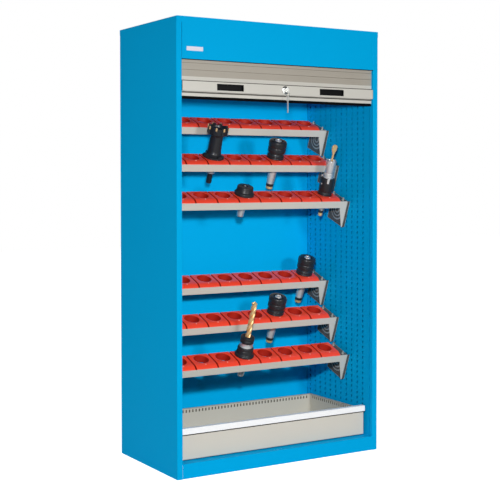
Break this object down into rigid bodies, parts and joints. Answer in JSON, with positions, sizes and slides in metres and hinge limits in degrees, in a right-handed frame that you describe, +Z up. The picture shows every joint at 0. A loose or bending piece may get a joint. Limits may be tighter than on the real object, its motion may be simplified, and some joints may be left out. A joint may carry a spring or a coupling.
{
  "type": "roll front tool cabinet",
  "caption": "Free-standing sheet steel cabinet with a slatted roll-up curtain, a lock with keys, sloping racks of tool inserts and a wide drawer on telescopic runners.",
  "frame": {"origin": "bottom centre of the overall bounding box, the keys in the lock included", "axes": "+X to the right, +Y to the back, +Z up; the curtain side faces -Y"},
  "size_m": [1.023, 0.5843, 1.905],
  "materials": {
    "cabinet_blue": "satin powder coat",
    "guide_grey": "satin",
    "curtain_slats": "satin",
    "zinc_steel": "zinc plated",
    "black_plastic": "matt",
    "rail_aluminium": "satin",
    "black_rubber": "matt",
    "lock_nickel": "polished",
    "rack_grey": "satin powder coat",
    "bracket_grey": "satin powder coat",
    "insert_red": "satin",
    "drawer_grey": "satin powder coat",
    "handle_white": "satin",
    "tool_black": "blackened"
  },
  "bodies": {
    "cabinet": {"left_side_panel": "cabinet_blue", "right_side_panel": "cabinet_blue", "back_panel": "cabinet_blue", "top_cover": "cabinet_blue", "header_fascia": "cabinet_blue", "roll_cover": "cabinet_blue", "plinth_rail": "cabinet_blue", "floor_pan": "cabinet_blue", "left_inner_wall": "cabinet_blue", "right_inner_wall": "cabinet_blue", "curtain_guides": "guide_grey", "curtain_run": "curtain_slats", "barrel_shaft": "zinc_steel", "torsion_spring": "zinc_steel", "barrel_brackets": "zinc_steel", "rack_brackets_upper": "bracket_grey", "rack_brackets_lower": "bracket_grey", "runner_outers": "zinc_steel", "rack_frame_1": "rack_grey", "tool_inserts_1": "insert_red", "rack_frame_2": "rack_grey", "tool_inserts_2": "insert_red", "rack_frame_3": "rack_grey", "tool_inserts_3": "insert_red", "rack_frame_4": "rack_grey", "tool_inserts_4": "insert_red", "rack_frame_5": "rack_grey", "tool_inserts_5": "insert_red", "rack_frame_6": "rack_grey", "tool_inserts_6": "insert_red"},
    "shutter": {"bottom_rail": "rail_aluminium", "rail_seal": "black_rubber", "rail_end_caps": "black_plastic", "rail_pulls": "black_plastic", "front_slats": "curtain_slats", "lock_housing": "lock_nickel"},
    "barrel": {"barrel_tube": "zinc_steel", "barrel_plugs": "black_plastic", "wound_slats": "curtain_slats"},
    "key": {"lock_key": "lock_nickel", "lock_plug": "lock_nickel", "lock_cam": "zinc_steel"},
    "spare_key_on_ring": {"key_ring": "lock_nickel", "spare_key": "lock_nickel"},
    "drawer": {"drawer_box": "drawer_grey", "drawer_front": "drawer_grey", "drawer_handle": "handle_white", "runner_inners": "zinc_steel"},
    "middle_runners": {"runner_middles": "zinc_steel"},
    "face_mill_body": {"face_mill": "tool_black"},
    "collet_chuck_1_body": {"collet_chuck_1": "tool_black"},
    "collet_chuck_2_body": {"collet_chuck_2": "tool_black"},
    "collet_chuck_3_body": {"collet_chuck_3": "tool_black"},
    "cup_holder_body": {"cup_holder": "tool_black"},
    "drill_chuck_body": {"drill_chuck": "tool_black"},
    "twist_drill_holder_body": {"twist_drill_holder": "tool_black"}
  },
  "joints": [
    {"name": "shutter_slide", "type": "slide", "parent": "cabinet", "child": "shutter", "axis": [0, 0, 1], "range_m": [-1.5067, 0], "deforming": ["curtain_run"]},
    {"name": "barrel_spin", "type": "hinge", "parent": "cabinet", "child": "barrel", "pos_m": [0, -0.1676, 1.8185], "axis": [1, 0, 0], "range_deg": [0, 1595]},
    {"name": "key_turn", "type": "hinge", "parent": "shutter", "child": "key", "pos_m": [0.015, -0.26275, 1.6215], "axis": [0, -1, 0], "range_deg": [0, 90]},
    {"name": "spare_key_swing", "type": "hinge", "parent": "key", "child": "spare_key_on_ring", "pos_m": [0.015, -0.27975, 1.613], "axis": [0, 1, 0], "range_deg": [-30, 30]},
    {"name": "drawer_slide", "type": "slide", "parent": "cabinet", "child": "drawer", "axis": [0, -1, 0], "range_m": [0, 0.4]},
    {"name": "middle_runner_slide", "type": "slide", "parent": "cabinet", "child": "middle_runners", "axis": [0, -1, 0], "range_m": [0, 0.2]},
    {"name": "face_mill_lift", "type": "slide", "parent": "cabinet", "child": "face_mill_body", "axis": [0, -0.3584, 0.9336], "range_m": [0, 0.126]},
    {"name": "collet_chuck_1_lift", "type": "slide", "parent": "cabinet", "child": "collet_chuck_1_body", "axis": [0, -0.3584, 0.9336], "range_m": [0, 0.159]},
    {"name": "collet_chuck_2_lift", "type": "slide", "parent": "cabinet", "child": "collet_chuck_2_body", "axis": [0, -0.3584, 0.9336], "range_m": [0, 0.159]},
    {"name": "collet_chuck_3_lift", "type": "slide", "parent": "cabinet", "child": "collet_chuck_3_body", "axis": [0, -0.3584, 0.9336], "range_m": [0, 0.159]},
    {"name": "cup_holder_lift", "type": "slide", "parent": "cabinet", "child": "cup_holder_body", "axis": [0, -0.3584, 0.9336], "range_m": [0, 0.107]},
    {"name": "drill_chuck_lift", "type": "slide", "parent": "cabinet", "child": "drill_chuck_body", "axis": [0, -0.3584, 0.9336], "range_m": [0, 0.112]},
    {"name": "twist_drill_holder_lift", "type": "slide", "parent": "cabinet", "child": "twist_drill_holder_body", "axis": [0, -0.3584, 0.9336], "range_m": [0, 0.107]}
  ],
  "couplings": [
    {"joint": "barrel_spin", "follows": "shutter_slide", "rad_per_m": -18.464},
    {"joint": "middle_runner_slide", "follows": "drawer_slide", "ratio": 0.5}
  ]
}
